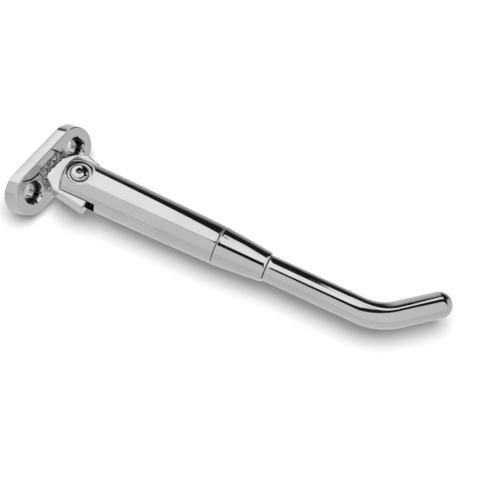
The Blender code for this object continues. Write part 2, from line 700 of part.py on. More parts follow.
make_flange(mount, CHROME)
make_lug(mount, CHROME, flange_side)
make_welds(mount, WELD, flange_side)
make_bush(mount, BRONZE)

make_leg(leg, CHROME)
make_pivot(leg, STEEL, CHROME, BRONZE)
make_nut(leg, STEEL)
make_guide(leg, BRONZE)
make_plunger(leg, HARDENED)
make_spring(leg, SPRING)
make_seat_and_plug(leg, STEEL)
make_collar(leg, CHROME)
make_rod(leg, CHROME)
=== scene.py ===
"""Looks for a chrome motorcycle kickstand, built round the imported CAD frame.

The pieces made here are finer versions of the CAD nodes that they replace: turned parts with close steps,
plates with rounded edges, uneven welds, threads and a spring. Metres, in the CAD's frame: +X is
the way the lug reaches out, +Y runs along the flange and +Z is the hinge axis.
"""

import json
import math

import bmesh
import bpy
from mathutils import Matrix, Vector, noise


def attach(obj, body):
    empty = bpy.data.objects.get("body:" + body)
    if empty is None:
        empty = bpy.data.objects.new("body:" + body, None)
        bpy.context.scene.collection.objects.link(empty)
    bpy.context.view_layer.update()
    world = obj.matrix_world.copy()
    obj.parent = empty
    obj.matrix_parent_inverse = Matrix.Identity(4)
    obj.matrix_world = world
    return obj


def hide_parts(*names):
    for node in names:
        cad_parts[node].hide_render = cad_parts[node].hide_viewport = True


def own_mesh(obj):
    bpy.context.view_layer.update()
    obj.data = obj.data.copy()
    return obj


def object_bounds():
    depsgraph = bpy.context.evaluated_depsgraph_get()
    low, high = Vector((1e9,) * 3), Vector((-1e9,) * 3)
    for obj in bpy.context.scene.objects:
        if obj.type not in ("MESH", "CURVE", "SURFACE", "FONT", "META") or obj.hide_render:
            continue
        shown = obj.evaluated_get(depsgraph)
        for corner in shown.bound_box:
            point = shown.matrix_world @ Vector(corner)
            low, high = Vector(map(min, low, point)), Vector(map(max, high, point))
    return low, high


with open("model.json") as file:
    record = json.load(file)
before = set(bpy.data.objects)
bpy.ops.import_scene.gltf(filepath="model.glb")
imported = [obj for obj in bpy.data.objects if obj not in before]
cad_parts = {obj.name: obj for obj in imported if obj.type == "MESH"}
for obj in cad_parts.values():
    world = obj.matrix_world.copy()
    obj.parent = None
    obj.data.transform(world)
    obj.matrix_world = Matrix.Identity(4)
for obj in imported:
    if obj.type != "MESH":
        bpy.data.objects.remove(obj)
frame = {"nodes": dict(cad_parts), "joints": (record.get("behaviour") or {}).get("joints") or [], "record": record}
CAD_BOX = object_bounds()

MM = 0.001
ROUND = 128  # steps round a turned piece
FINE = 1.6 * MM  # longest step along one

# Driving sizes, as in the CAD
JOINTS = {joint["name"]: joint for joint in frame["joints"]}
PIVOT = Vector(JOINTS["leg_swing"]["pos_m"])
LEG_AXIS = Vector(JOINTS["length_adjust"]["axis"])
LEG_ANGLE = math.atan2(LEG_AXIS.y, LEG_AXIS.x)
FLANGE_NORMAL = -Vector(frame["record"]["mounts"][0]["axis"])
FLANGE_LEAN = math.asin(FLANGE_NORMAL.z)
FLANGE_UP = Vector((-FLANGE_NORMAL.z, 0, FLANGE_NORMAL.x))

FLANGE_THICKNESS = 11.1 * MM
FLANGE_END_RADIUS = 16.5 * MM
FLANGE_TOE = 2.4 * MM
FLANGE_EDGE = 1.1 * MM
BOLT_PITCH = 46.8 * MM
BOLT_HOLE_RADIUS = 5.3 * MM
BOLT_HEAD_RADIUS = 8.2 * MM
BOLT_HEAD_DEPTH = 6.2 * MM

PIVOT_REACH = 20 * MM
LUG_THICKNESS = 9.5 * MM
LUG_EDGE = 1.5 * MM
LUG_CAM_RADIUS = 18 * MM
LUG_STOP_SIDE = 19.1 * MM
LUG_STOP_END = 17.1 * MM
LUG_SHOULDER_RADIUS = 19.7 * MM
NECK_STOP_SIDE = 12 * MM
NECK_CAM_SIDE = 5.2 * MM
NECK_CAM_SPREAD = 4.5 * MM
NECK_FLARE = 0.52
NOTCH_RADIUS = 5 * MM
NOTCH_REACH = 22.3 * MM
WELD_RADIUS = 3.0 * MM
UNDER_WELD_RADIUS = 1.7 * MM
WELD_STEP = 1.5 * MM
WELD_UNEVENNESS = 0.24
WELD_VOXEL = 0.28 * MM

GAP = 0.3 * MM
SCREW_RADIUS = 4 * MM
BUSH_RADIUS = 6 * MM
SLOT_HALF_HEIGHT = 5.45 * MM
THRUST_WASHER_RADIUS = 10.5 * MM
THRUST_RECESS_DEPTH = 0.9 * MM
RECESS_FLOOR = 9 * MM
RECESS_RADIUS = 9.3 * MM
RECESS_CHAMFER = 1.4 * MM
FLAT_WASHER_RADIUS = 8.7 * MM
FLAT_WASHER_THICKNESS = 1.4 * MM
SCREW_HEAD_RADIUS = 7 * MM
SCREW_HEAD_HEIGHT = 3.9 * MM
SCREW_HEAD_RIM = 0.7 * MM
SCREW_PITCH = 0.7 * MM
SCREW_THREAD_DEPTH = 0.35 * MM
SCREW_SOCKET_ACROSS = 4.8 * MM
SCREW_SOCKET_DEPTH = 2.4 * MM
NUT_ACROSS_FLATS = 13 * MM
NUT_HEIGHT = 4 * MM
HEAD_BASE = RECESS_FLOOR + GAP + FLAT_WASHER_THICKNESS + GAP

LEG_END = -14 * MM
LEG_DOME_RADIUS = 26 * MM
LEG_RADIUS = 15.9 * MM
LEG_LOWER_RADIUS = 14.3 * MM
LEG_LENGTH = 110 * MM
SLOT_ROOT = 19.5 * MM
FORK_RELIEF_RADIUS = 15.1 * MM
SPRING_BORE_RADIUS = 7 * MM
SPRING_BORE_END = 66 * MM
THREAD_BORE_RADIUS = 9.2 * MM
COLLAR_END = 147.6 * MM
COLLAR_RADIUS = 14.4 * MM
COLLAR_SMALL_RADIUS = 11 * MM
COLLAR_SHOULDER = 1.2 * MM
ROD_RADIUS = 9.525 * MM
ROD_STEM_RADIUS = 8.8 * MM
ROD_STEM_START = 82 * MM
ROD_BEND_AT = 232.6 * MM
ROD_BEND_RADIUS = 38 * MM
FOOT_BEND = math.radians(41)
FOOT_LENGTH = 54.4 * MM
FOOT_DOME_LENGTH = 9 * MM
PLUNGER_SHOULDER = 34 * MM
SPRING_MEAN_RADIUS = 4.2 * MM
SPRING_WIRE_RADIUS = 0.9 * MM
SPRING_TURNS = 8
THREAD_PITCH = 1.5 * MM
THREAD_DEPTH = 0.45 * MM
# how far the painted shade in holes and recesses reaches
HOLLOW_SHADE_REACH = 9 * MM

# Camera and studio
CAMERA_PLACE = Vector((0.3734, -0.4089, 0.9236))
CAMERA_AZIMUTH = math.radians(26.99)
CAMERA_ELEVATION = math.radians(61.42)
CAMERA_ROLL = math.radians(10.1)
CAMERA_LENS = 111.34
CAMERA_SENSOR = 36
FLOOR_SIZE = 6.0
CARD_HEIGHT = 0.5
STRIP_HEIGHT = 0.3
BLADE_HEIGHT = 1.0
SUN_AZIMUTH = 105
SUN_ELEVATION = 85
SUN_STRENGTH = 2.9
SUN_SPREAD = 58
FLOOR_FILL = 0.27
DARK_WAY = math.radians(93)

# Places of the pieces
LEG_FRAME = Matrix.Translation(PIVOT) @ Matrix.Rotation(LEG_ANGLE, 4, "Z")
ALONG_LEG = LEG_FRAME @ Matrix.Rotation(math.radians(90), 4, "Y")
UNDER_LEG = LEG_FRAME @ Matrix.Rotation(math.radians(180), 4, "X")
FACE_CENTRE = FLANGE_NORMAL * FLANGE_THICKNESS
LUG_ROOT = PIVOT - Vector((PIVOT_REACH, 0, 0))
FLANGE_FRAME = Matrix((Vector((0, 1, 0)), FLANGE_UP, FLANGE_NORMAL)).transposed().to_4x4()


# ---------------------------------------------------------------- meshes


def put(name, mesh, matrix):
    """A new object in the scene."""
    obj = bpy.data.objects.new(name, mesh)
    bpy.context.scene.collection.objects.link(obj)
    obj.matrix_world = matrix
    return obj


def piece(obj, body, node, material, sharp_angle=32):
    """Gives a finished object its shading and material, and puts it in the place of a CAD node."""
    obj.data.transform(obj.matrix_world)
    obj.matrix_world = Matrix()
    obj.data.materials.clear()
    obj.data.materials.append(material)
    obj.data.shade_smooth()
    obj.data.set_sharp_from_angle(angle=math.radians(sharp_angle))
    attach(obj, body)
    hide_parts(node)
    return obj


def settle(obj, *helpers):
    """Keeps what the object's modifiers make as its own mesh, and removes the helpers they used."""
    bpy.context.view_layer.update()
    graph = bpy.context.evaluated_depsgraph_get()
    mesh = bpy.data.meshes.new_from_object(obj.evaluated_get(graph))
    obj.modifiers.clear()
    obj.data = mesh
    for helper in helpers:
        bpy.data.objects.remove(helper)
    return obj


def combine(obj, operation, *tools):
    """Cuts or trims an object with others, which are used up."""
    for tool in tools:
        boolean = obj.modifiers.new(tool.name, "BOOLEAN")
        boolean.operation = operation
        boolean.solver = "EXACT"
        boolean.object = tool
    return settle(obj, *tools)


def flatten_normals(obj):
    """Keeps flat faces flat right up to a rounded edge."""
    weighted = obj.modifiers.new("weighted normals", "WEIGHTED_NORMAL")
    weighted.keep_sharp = True
    weighted.weight = 100


def arc(centre, radius, start, end, steps):
    """Points on a circle from one angle to another, in degrees."""
    points = []
    for i in range(steps + 1):
        angle = math.radians(start + (end - start) * i / steps)
        points.append((centre[0] + radius * math.cos(angle), centre[1] + radius * math.sin(angle)))
    return points


def closer(profile, step=FINE):
    """The same profile with no step longer than this one."""
    points = [profile[0]]
    for (r0, h0), (r1, h1) in zip(profile, profile[1:]):
        parts = max(1, math.ceil(math.hypot(r1 - r0, h1 - h0) / step))
        for i in range(1, parts + 1):
            share = i / parts
            points.append((r0 + (r1 - r0) * share, h0 + (h1 - h0) * share))
    return points


def join_rings(bm, one, other, steps):
    """Faces between two rings of points, either of which may be a single point."""
    for i in range(steps):
        j = i + 1
        corners = (one[i % len(one)], other[i % len(other)], other[j % len(other)], one[j % len(one)])
        corners = list(dict.fromkeys(corners))
        if len(corners) > 2:
            bm.faces.new(corners)


def finished_mesh(name, bm):
    """The mesh that has been built up, with its faces turned outwards."""
    bmesh.ops.recalc_face_normals(bm, faces=bm.faces)
    mesh = bpy.data.meshes.new(name)
    bm.to_mesh(mesh)
    bm.free()
    return mesh


def turned_mesh(name, profile, closed=False, steps=ROUND):
    """A profile of (radius, height) turned round Z."""
    bm = bmesh.new()
    rings = []
    for radius, height in profile:
        count = steps if radius > 1e-7 else 1
        turns = [2 * math.pi * i / steps for i in range(count)]
        rings.append([bm.verts.new((radius * math.cos(a), radius * math.sin(a), height)) for a in turns])
    pairs = list(zip(rings, rings[1:]))
    if closed:
        pairs.append((rings[-1], rings[0]))
    for one, other in pairs:
        join_rings(bm, one, other, steps)
    return finished_mesh(name, bm)


def rounded_ring(inner, outer, low, high, rounding):
    """The section of a washer or sleeve with rounded edges, as a closed profile."""
    profile = []
    for radius, height, start in ((outer, high, 90), (outer, low, 0), (inner, low, -90), (inner, high, -180)):
        side = -1 if radius == outer else 1
        rise = -1 if height == high else 1
        centre = (radius + side * rounding, height + rise * rounding)
        profile += arc(centre, rounding, start, start - 90, 3)
    return profile


def post(name, radius, low, high, matrix, sides=96):
    """An upright cylinder, or a prism if it has few sides."""
    profile = [(0, high), (radius, high), (radius, low), (0, low)]
    return put(name, turned_mesh(name, profile, steps=sides), matrix)


def block(name, low, high, matrix):
    """A box between two corners."""
    bm = bmesh.new()
    bmesh.ops.create_cube(bm, size=1)
    low = Vector(low)
    high = Vector(high)
    bmesh.ops.scale(bm, vec=high - low, verts=bm.verts)
    bmesh.ops.translate(bm, vec=(low + high) / 2, verts=bm.verts)
    return put(name, finished_mesh(name, bm), matrix)


def mesh_of_curve(curve):
    """The closed mesh of a curve, with its caps joined on."""
    helper = put(curve.name, curve, Matrix())
    bpy.context.view_layer.update()
    graph = bpy.context.evaluated_depsgraph_get()
    mesh = bpy.data.meshes.new_from_object(helper.evaluated_get(graph))
    bpy.data.objects.remove(helper)
    bm = bmesh.new()
    bm.from_mesh(mesh)
    bmesh.ops.remove_doubles(bm, verts=bm.verts, dist=1e-6)
    bmesh.ops.recalc_face_normals(bm, faces=bm.faces)
    bm.to_mesh(mesh)
    bm.free()
    return mesh


def plate_mesh(name, outline, thickness, rounding):
    """A flat plate with a closed outline and rounded edges, centred on its own XY plane."""
    curve = bpy.data.curves.new(name, "CURVE")
    curve.dimensions = "2D"
    curve.fill_mode = "BOTH"
    curve.extrude = thickness / 2 - rounding
    curve.bevel_depth = rounding
    curve.bevel_resolution = 4
    curve.offset = -rounding
    spline = curve.splines.new("POLY")
    spline.points.add(len(outline) - 1)
    for point, (x, y) in zip(spline.points, outline):
        point.co = (x, y, 0, 1)
    spline.use_cyclic_u = True
    return mesh_of_curve(curve)


def thread_radius(radius, along, turn):
    """The radius of a screw thread at a place along it and a turn round it, in turns."""
    phase = (along / THREAD_PITCH - turn) % 1
    return radius - THREAD_DEPTH * (1 - abs(2 * phase - 1))


# ---------------------------------------------------------------- materials


def new_material(name, colour, roughness):
    material = bpy.data.materials.new(name)
    material.use_nodes = True
    shader = material.node_tree.nodes["Principled BSDF"]
    shader.inputs["Base Color"].default_value = (*colour, 1)
    shader.inputs["Metallic"].default_value = 1
    shader.inputs["Roughness"].default_value = roughness
    return material, material.node_tree, shader


def noise_node(tree, scale, detail=3, stretch=(1, 1, 1)):
    coordinates = tree.nodes.new("ShaderNodeTexCoord")
    mapping = tree.nodes.new("ShaderNodeMapping")
    mapping.inputs["Scale"].default_value = stretch
    texture = tree.nodes.new("ShaderNodeTexNoise")
    texture.inputs["Scale"].default_value = scale
    texture.inputs["Detail"].default_value = detail
    tree.links.new(coordinates.outputs["Object"], mapping.inputs["Vector"])
    tree.links.new(mapping.outputs["Vector"], texture.inputs["Vector"])
    return texture.outputs["Fac"]


def ramp_node(tree, value, stops):
    """A colour ramp: each stop is a position with a grey or a colour."""
    ramp = tree.nodes.new("ShaderNodeValToRGB")
    elements = ramp.color_ramp.elements
    while len(elements) < len(stops):
        elements.new(0.5)
    for element, (position, colour) in zip(elements, stops):
        element.position = position
        element.color = (*colour, 1) if isinstance(colour, tuple) else (colour, colour, colour, 1)
    tree.links.new(value, ramp.inputs["Fac"])
    return ramp.outputs["Color"]


def mix_node(tree, factor, first, second, blend="MIX"):
    """Two colours mixed, or multiplied. Each value is a socket or a constant."""
    mix = tree.nodes.new("ShaderNodeMix")
    mix.data_type = "RGBA"
    mix.blend_type = blend
    for name, value in (("Factor", factor), ("A", first), ("B", second)):
        if isinstance(value, bpy.types.NodeSocket):
            tree.links.new(value, mix.inputs[name])
        else:
            mix.inputs[name].default_value = value
    return mix.outputs["Result"]


def math_node(tree, operation, first, second):
    """One step of arithmetic. Each value is a socket or a number."""
    node = tree.nodes.new("ShaderNodeMath")
    node.operation = operation
    for socket, value in zip(node.inputs, (first, second)):
        if isinstance(value, (int, float)):
            socket.default_value = value
        else:
            tree.links.new(value, socket)
    return node.outputs["Value"]


def bump_node(tree, height, strength, distance, normal=None):
    bump = tree.nodes.new("ShaderNodeBump")
    bump.inputs["Strength"].default_value = strength
    bump.inputs["Distance"].default_value = distance
    tree.links.new(height, bump.inputs["Height"])
    if normal:
        tree.links.new(normal, bump.inputs["Normal"])
    return bump.outputs["Normal"]


def edge_mask(tree, low, high):
    """1 on edges that stand out, from the mesh's own curvature."""
    geometry = tree.nodes.new("ShaderNodeNewGeometry")
    return ramp_node(tree, geometry.outputs["Pointiness"], ((low, 0.0), (high, 1.0)))


def painted_hollow_shade(tree, colour, darkness):
    """The colour with painted shade: darker in holes and recesses, by how closed in each point is."""
    # painted shade: ambient occlusion darkens the colour in holes and recesses
    hollow = tree.nodes.new("ShaderNodeAmbientOcclusion")
    hollow.only_local = True
    hollow.samples = 8
    hollow.inputs["Distance"].default_value = HOLLOW_SHADE_REACH
    shade = ramp_node(tree, hollow.outputs["AO"], ((0.5, darkness), (0.92, 1.0)))
    return mix_node(tree, 1, colour, shade, "MULTIPLY")


def make_chrome():
    """Polished plate: faint blotches and hairline scratches in its gloss, and a slight waviness."""
    colour = (0.62, 0.628, 0.645)
    gloss = 0.035
    material, tree, shader = new_material("chrome", colour, gloss)
    tint = tuple(0.93 * part for part in colour)
    links = tree.links
    blotches = ramp_node(tree, noise_node(tree, 38, 4), ((0.35, tint), (0.6, colour)))
    # painted shade: the chrome's colour is darkened in its holes, counterbores and recesses
    links.new(painted_hollow_shade(tree, blotches, 0.1), shader.inputs["Base Color"])
    haze = ramp_node(tree, noise_node(tree, 120, 5), ((0.4, gloss), (0.75, gloss + 0.04)))
    hairlines = ramp_node(tree, noise_node(tree, 900, 2, (0.03, 1, 1)), ((0.62, 0.0), (0.74, 0.07)))
    worn = math_node(tree, "MULTIPLY", edge_mask(tree, 0.52, 0.6), 0.06)
    rough = math_node(tree, "ADD", math_node(tree, "ADD", haze, hairlines), worn)
    links.new(rough, shader.inputs["Roughness"])
    wave = bump_node(tree, noise_node(tree, 95, 1), 0.05, 0.4 * MM)
    grain = bump_node(tree, noise_node(tree, 1800, 2), 0.02, 0.05 * MM, wave)
    links.new(grain, shader.inputs["Normal"])
    return material


def make_weld_plate():
    """Chrome over an unground bead: pitted, with rougher pits and glossier crests, and painted shade that makes
    the pits near black and darkens the hollows.
    """
    colour = (0.6, 0.6, 0.615)
    material, tree, shader = new_material("chromed_weld", colour, 0.2)
    pits = noise_node(tree, 1300, 6)
    # painted shade: the dents in the bead are coloured near black
    pits_painted_dark = ramp_node(tree, pits, ((0.43, (0.03, 0.03, 0.032)), (0.56, colour)))
    # painted shade: darker still in the hollows between the bead and the lug
    tree.links.new(painted_hollow_shade(tree, pits_painted_dark, 0.03), shader.inputs["Base Color"])
    tree.links.new(ramp_node(tree, pits, ((0.35, 0.42), (0.62, 0.12))), shader.inputs["Roughness"])
    coarse = bump_node(tree, noise_node(tree, 420, 4), 0.6, 0.5 * MM)
    tree.links.new(bump_node(tree, pits, 0.5, 0.25 * MM, coarse), shader.inputs["Normal"])
    return material


def make_steel(name, colour, roughness, stain=0.8):
    """Machined steel with fine tool marks, a mottled surface and brighter worn edges."""
    material, tree, shader = new_material(name, colour, roughness)
    dull = tuple(stain * part for part in colour)
    bright = tuple(min(1, 1.25 * part) for part in colour)
    mottle = ramp_node(tree, noise_node(tree, 260, 5), ((0.35, dull), (0.65, colour)))
    worn = mix_node(tree, edge_mask(tree, 0.51, 0.58), mottle, (*bright, 1))
    tree.links.new(worn, shader.inputs["Base Color"])
    marks = noise_node(tree, 1500, 3, (1, 1, 0.04))
    rough = ramp_node(tree, marks, ((0.3, roughness - 0.08), (0.7, roughness + 0.1)))
    tree.links.new(rough, shader.inputs["Roughness"])
    tree.links.new(bump_node(tree, marks, 0.25, 0.05 * MM), shader.inputs["Normal"])
    return material


# ---------------------------------------------------------------- pieces on the mount


def make_flange(material):
    """The flange, with rounded edges and chamfered counterbores."""
    half = BOLT_PITCH / 2
    outline = arc((half - MM, 0), FLANGE_END_RADIUS, -90, 90, 64)
    outline += arc((-half, 0), FLANGE_END_RADIUS, 90, 270, 64)
    mesh = plate_mesh("flange", outline, FLANGE_THICKNESS, FLANGE_EDGE)
    for vertex in mesh.vertices:
        beyond = max(-vertex.co.x - half, 0) / FLANGE_END_RADIUS
        vertex.co.x -= FLANGE_TOE * beyond * (0.5 - vertex.co.z / FLANGE_THICKNESS)
    matrix = FLANGE_FRAME @ Matrix.Translation((0, 0, FLANGE_THICKNESS / 2))
    flange = put("flange", mesh, matrix)
    face = FLANGE_THICKNESS / 2
    seat = face - BOLT_HEAD_DEPTH
    rim = 0.7 * MM
    profile = [(0, face + MM), (BOLT_HEAD_RADIUS + rim + MM, face + MM), (BOLT_HEAD_RADIUS, face - rim)]
    profile += [(BOLT_HEAD_RADIUS, seat), (BOLT_HOLE_RADIUS, seat), (BOLT_HOLE_RADIUS, -face - MM)]
    profile += [(0, -face - MM)]
    holes = []
    for side in (-1, 1):
        at = matrix @ Matrix.Translation((side * half, 0, 0))
        holes.append(put("bolt_hole", turned_mesh("bolt_hole", profile, steps=96), at))
    combine(flange, "DIFFERENCE", *holes)
    flatten_normals(flange)
    return piece(flange, "mount", "mounting_flange", material)


def stop_side_at(x):
    """How far the lug's neck reaches on its stop side, at a place along X from the pivot."""
    flange_edge = -PIVOT_REACH - LUG_THICKNESS / 2 * math.tan(FLANGE_LEAN)
    return NECK_STOP_SIDE + NECK_FLARE * (x - flange_edge)


def lug_outline():
    """The lug's outline round the pivot: neck, stop corner, round cam and shoulder."""
    root = -(PIVOT_REACH + FLANGE_THICKNESS)
    flare_end = -12.5 * MM
    corner = 1.2 * MM
    outline = [(root, -stop_side_at(root)), (flare_end, -stop_side_at(flare_end))]
    outline += [(flare_end + 3 * MM, -LUG_STOP_SIDE)]
    outline += arc((LUG_STOP_END - corner, -LUG_STOP_SIDE + corner), corner, -90, 0, 8)
    outline += arc((0, 0), LUG_CAM_RADIUS, -28, 92, 72)
    outline += arc((0, 0), LUG_SHOULDER_RADIUS, 108, 158, 24)
    outline += [(-21 * MM, NECK_CAM_SIDE), (root, NECK_CAM_SIDE)]
    return outline


def make_lug(material):
    """The lug, with its bore and the notches that the plunger drops into."""
    lug = put("lug", plate_mesh("lug", lug_outline(), LUG_THICKNESS, LUG_EDGE), Matrix.Translation(PIVOT))
    half = LUG_THICKNESS / 2 + MM
    reach = 60 * MM
    face = Matrix.Translation(FACE_CENTRE) @ FLANGE_FRAME
    tools = [block("behind_face", (-reach, -reach, -reach), (reach, reach, -MM), face)]
    tools.append(post("lug_bore", BUSH_RADIUS + GAP, -half, half, Matrix.Translation(PIVOT)))
    for limit in JOINTS["leg_swing"]["range_deg"]:
        turn = Matrix.Rotation(LEG_ANGLE + math.radians(limit), 4, "Z")
        at = Matrix.Translation(PIVOT) @ turn @ Matrix.Translation((NOTCH_REACH, 0, 0))
        tools.append(post("notch", NOTCH_RADIUS, -half, half, at))
    combine(lug, "DIFFERENCE", *tools)
    flatten_normals(lug)
    return piece(lug, "mount", "pivot_lug", material)


def weld_path(side):
    """Round half of the lug's neck, with the bead's radius at each point."""
    face = side * LUG_THICKNESS / 2
    tilt = math.tan(FLANGE_LEAN)
    face_radius = WELD_RADIUS if side > 0 else UNDER_WELD_RADIUS
    edge_radius = (WELD_RADIUS + face_radius) / 2

    def point(y, z, radius):
        return LUG_ROOT + Vector((-z * tilt, y, z)), radius

    def stop_side(z):
        return -stop_side_at(-PIVOT_REACH - z * tilt)

    def cam_side(z):
        return NECK_CAM_SIDE + NECK_CAM_SPREAD * max(-2 * z / LUG_THICKNESS, 0)

    start, end = stop_side(face), cam_side(face)
    path = [point(stop_side(0), 0, WELD_RADIUS), point(start, face, edge_radius)]
    path += [point(start + (end - start) * share, face, face_radius) for share in (0.2, 0.8)]
    path += [point(end, face, edge_radius), point(cam_side(0), 0, WELD_RADIUS)]
    return path


def weld_drop(bm, at, along, radius, seed):
    """One solidified drop: a lens across the run, leaning back along it, with an uneven skin."""
    turn = along.to_track_quat("Z", "Y").to_matrix().to_4x4()
    lean = Matrix.Rotation(math.radians(24 + 10 * math.sin(seed * 1.7)), 4, "X")
    flat = Matrix.Diagonal((1.04, 1.04, 0.75, 1))
    place = Matrix.Translation(at) @ turn @ lean @ flat
    made = bmesh.ops.create_icosphere(bm, subdivisions=3, radius=radius, matrix=place)
    for vertex in made["verts"]:
        lump = noise.noise(vertex.co * 700 + Vector((seed, 0, 0)))
        lump += 0.8 * noise.noise(vertex.co * 1700)
        vertex.co += (vertex.co - at) * WELD_UNEVENNESS * lump


def make_weld(side, node, material):
    """A weld run of overlapping drops, each round a core, fused into one skin."""
    path = weld_path(side)
    bm = bmesh.new()
    count = 0
    for (start, start_radius), (end, end_radius) in zip(path, path[1:]):
        along = (end - start).normalized()
        steps = max(1, round((end - start).length / WELD_STEP))
        for i in range(steps):
            share = i / steps
            at = start.lerp(end, share)
            swell = 1 + 0.1 * math.sin(2.3 * count) + 0.08 * math.sin(5.1 * count)
            radius = (start_radius + (end_radius - start_radius) * share) * swell
            weld_drop(bm, at, along, radius, count)
            core = Matrix.Translation(at)
            bmesh.ops.create_icosphere(bm, subdivisions=2, radius=radius * 0.86, matrix=core)
            count += 1
    run = put("bead_" + ("upper" if side > 0 else "lower"), finished_mesh(node, bm), Matrix())
    fuse = run.modifiers.new("fuse", "REMESH")
    fuse.mode = "VOXEL"
    fuse.voxel_size = WELD_VOXEL
    settle(run)
    return piece(run, "mount", node, material, 60)


# ---------------------------------------------------------------- pieces on the leg


def leg_profile():
    """The leg's section, from its bore round its lower end to its domed top."""
    end = 0.9 * MM
    profile = [(0, SLOT_ROOT - 4 * MM), (SPRING_BORE_RADIUS, SLOT_ROOT - 4 * MM)]
    profile += [(SPRING_BORE_RADIUS, SPRING_BORE_END), (THREAD_BORE_RADIUS, SPRING_BORE_END)]
    profile += [(THREAD_BORE_RADIUS, LEG_LENGTH)]
    profile += arc((LEG_LOWER_RADIUS - end, LEG_LENGTH - end), end, 90, 0, 6)
    shoulder_at = LEG_END + LEG_DOME_RADIUS - math.sqrt(LEG_DOME_RADIUS**2 - LEG_RADIUS**2)
    taper_steps = 60
    for i in range(1, taper_steps + 1):
        share = i / taper_steps
        bulge = 0.35 * MM * math.sin(math.pi * share)
        radius = LEG_LOWER_RADIUS + (LEG_RADIUS - 0.1 * MM - LEG_LOWER_RADIUS) * share + bulge
        profile.append((radius, LEG_LENGTH - end + (shoulder_at + end - LEG_LENGTH + end) * share))
    dome_steps = 20
    edge_angle = math.asin((LEG_RADIUS - 0.9 * MM) / LEG_DOME_RADIUS)
    for i in range(dome_steps + 1):
        angle = edge_angle * (1 - i / dome_steps)
        height = LEG_END + LEG_DOME_RADIUS * (1 - math.cos(angle))
        profile.append((LEG_DOME_RADIUS * math.sin(angle), height))
    return closer(profile)


def leg_surface(radius, angle):
    """How far the leg's surface is above its axis, at a place round the screw's recess."""
    return math.sqrt(LEG_RADIUS**2 - (radius * math.sin(angle)) ** 2)


def rim_cutter(name, matrix, steps=96):
    """A ring that rounds the recess's rim off, in two flats, where it meets the leg's curved surface."""
    bm = bmesh.new()
    rings = []
    inset = 0.35 * RECESS_CHAMFER
    bend_radius = RECESS_RADIUS + inset
    high_radius = RECESS_RADIUS + RECESS_CHAMFER
    for i in range(steps):
        angle = 2 * math.pi * i / steps
        low = (RECESS_RADIUS, leg_surface(RECESS_RADIUS, angle) - RECESS_CHAMFER)
        bend = (bend_radius, leg_surface(bend_radius, angle) - inset)
        high = (high_radius, leg_surface(high_radius, angle))
        inner = (low[0] - MM, low[1] - (bend[1] - low[1]) / (bend[0] - low[0]) * MM)
        outer = (high[0] + MM, high[1] + (high[1] - bend[1]) / (high[0] - bend[0]) * MM)
        top = (inner[0], outer[1] + 2 * MM)
        section = (inner, bend, outer, top)
        rings.append([bm.verts.new((r * math.cos(angle), r * math.sin(angle), z)) for r, z in section])
    for ring, following in zip(rings, rings[1:] + rings[:1]):
        for i in range(4):
            bm.faces.new((ring[i], ring[i - 1], following[i - 1], following[i]))
    return put(name, finished_mesh(name, bm), matrix)


def fork_relief():
    """What is turned off the lower fork arm's end, so that it passes the flange."""
    wide = LEG_RADIUS + 2 * MM
    low = -LEG_RADIUS - MM
    relief = block("relief", (-wide, -wide, low), (0, wide, -SLOT_HALF_HEIGHT), LEG_FRAME)
    tilt = math.tan(FLANGE_LEAN)
    reach = ((PIVOT - FACE_CENTRE).dot(FLANGE_NORMAL)) / math.cos(FLANGE_LEAN) - 0.5 * MM
    bottom = low - MM
    knee = (FORK_RELIEF_RADIUS - reach) / tilt
    profile = [(0, 0), (FORK_RELIEF_RADIUS, 0), (FORK_RELIEF_RADIUS, knee)]
    profile += [(reach + bottom * tilt, bottom), (0, bottom)]
    kept = put("kept", turned_mesh("kept", profile), LEG_FRAME)
    return combine(relief, "DIFFERENCE", kept)


def make_leg(material):
    """The forked upper leg."""
    leg = put("leg", turned_mesh("leg", leg_profile()), ALONG_LEG)
    wide = LEG_RADIUS + 2 * MM
    floor = SLOT_HALF_HEIGHT + THRUST_RECESS_DEPTH
    tools = [block("slot", (-wide, -wide, -SLOT_HALF_HEIGHT), (SLOT_ROOT, wide, SLOT_HALF_HEIGHT), LEG_FRAME)]
    tools.append(post("screw_hole", SCREW_RADIUS + GAP, -wide, wide, LEG_FRAME))
    tools.append(post("thrust_recess", THRUST_WASHER_RADIUS + GAP, -floor, floor, LEG_FRAME))
    tools.append(fork_relief())
    for name, matrix in (("head", LEG_FRAME), ("nut", UNDER_LEG)):
        tools.append(post(name + "_recess", RECESS_RADIUS, RECESS_FLOOR, wide, matrix))
        tools.append(rim_cutter(name + "_rim", matrix))
    combine(leg, "DIFFERENCE", *tools)
    return piece(leg, "leg", "leg_housing", material)


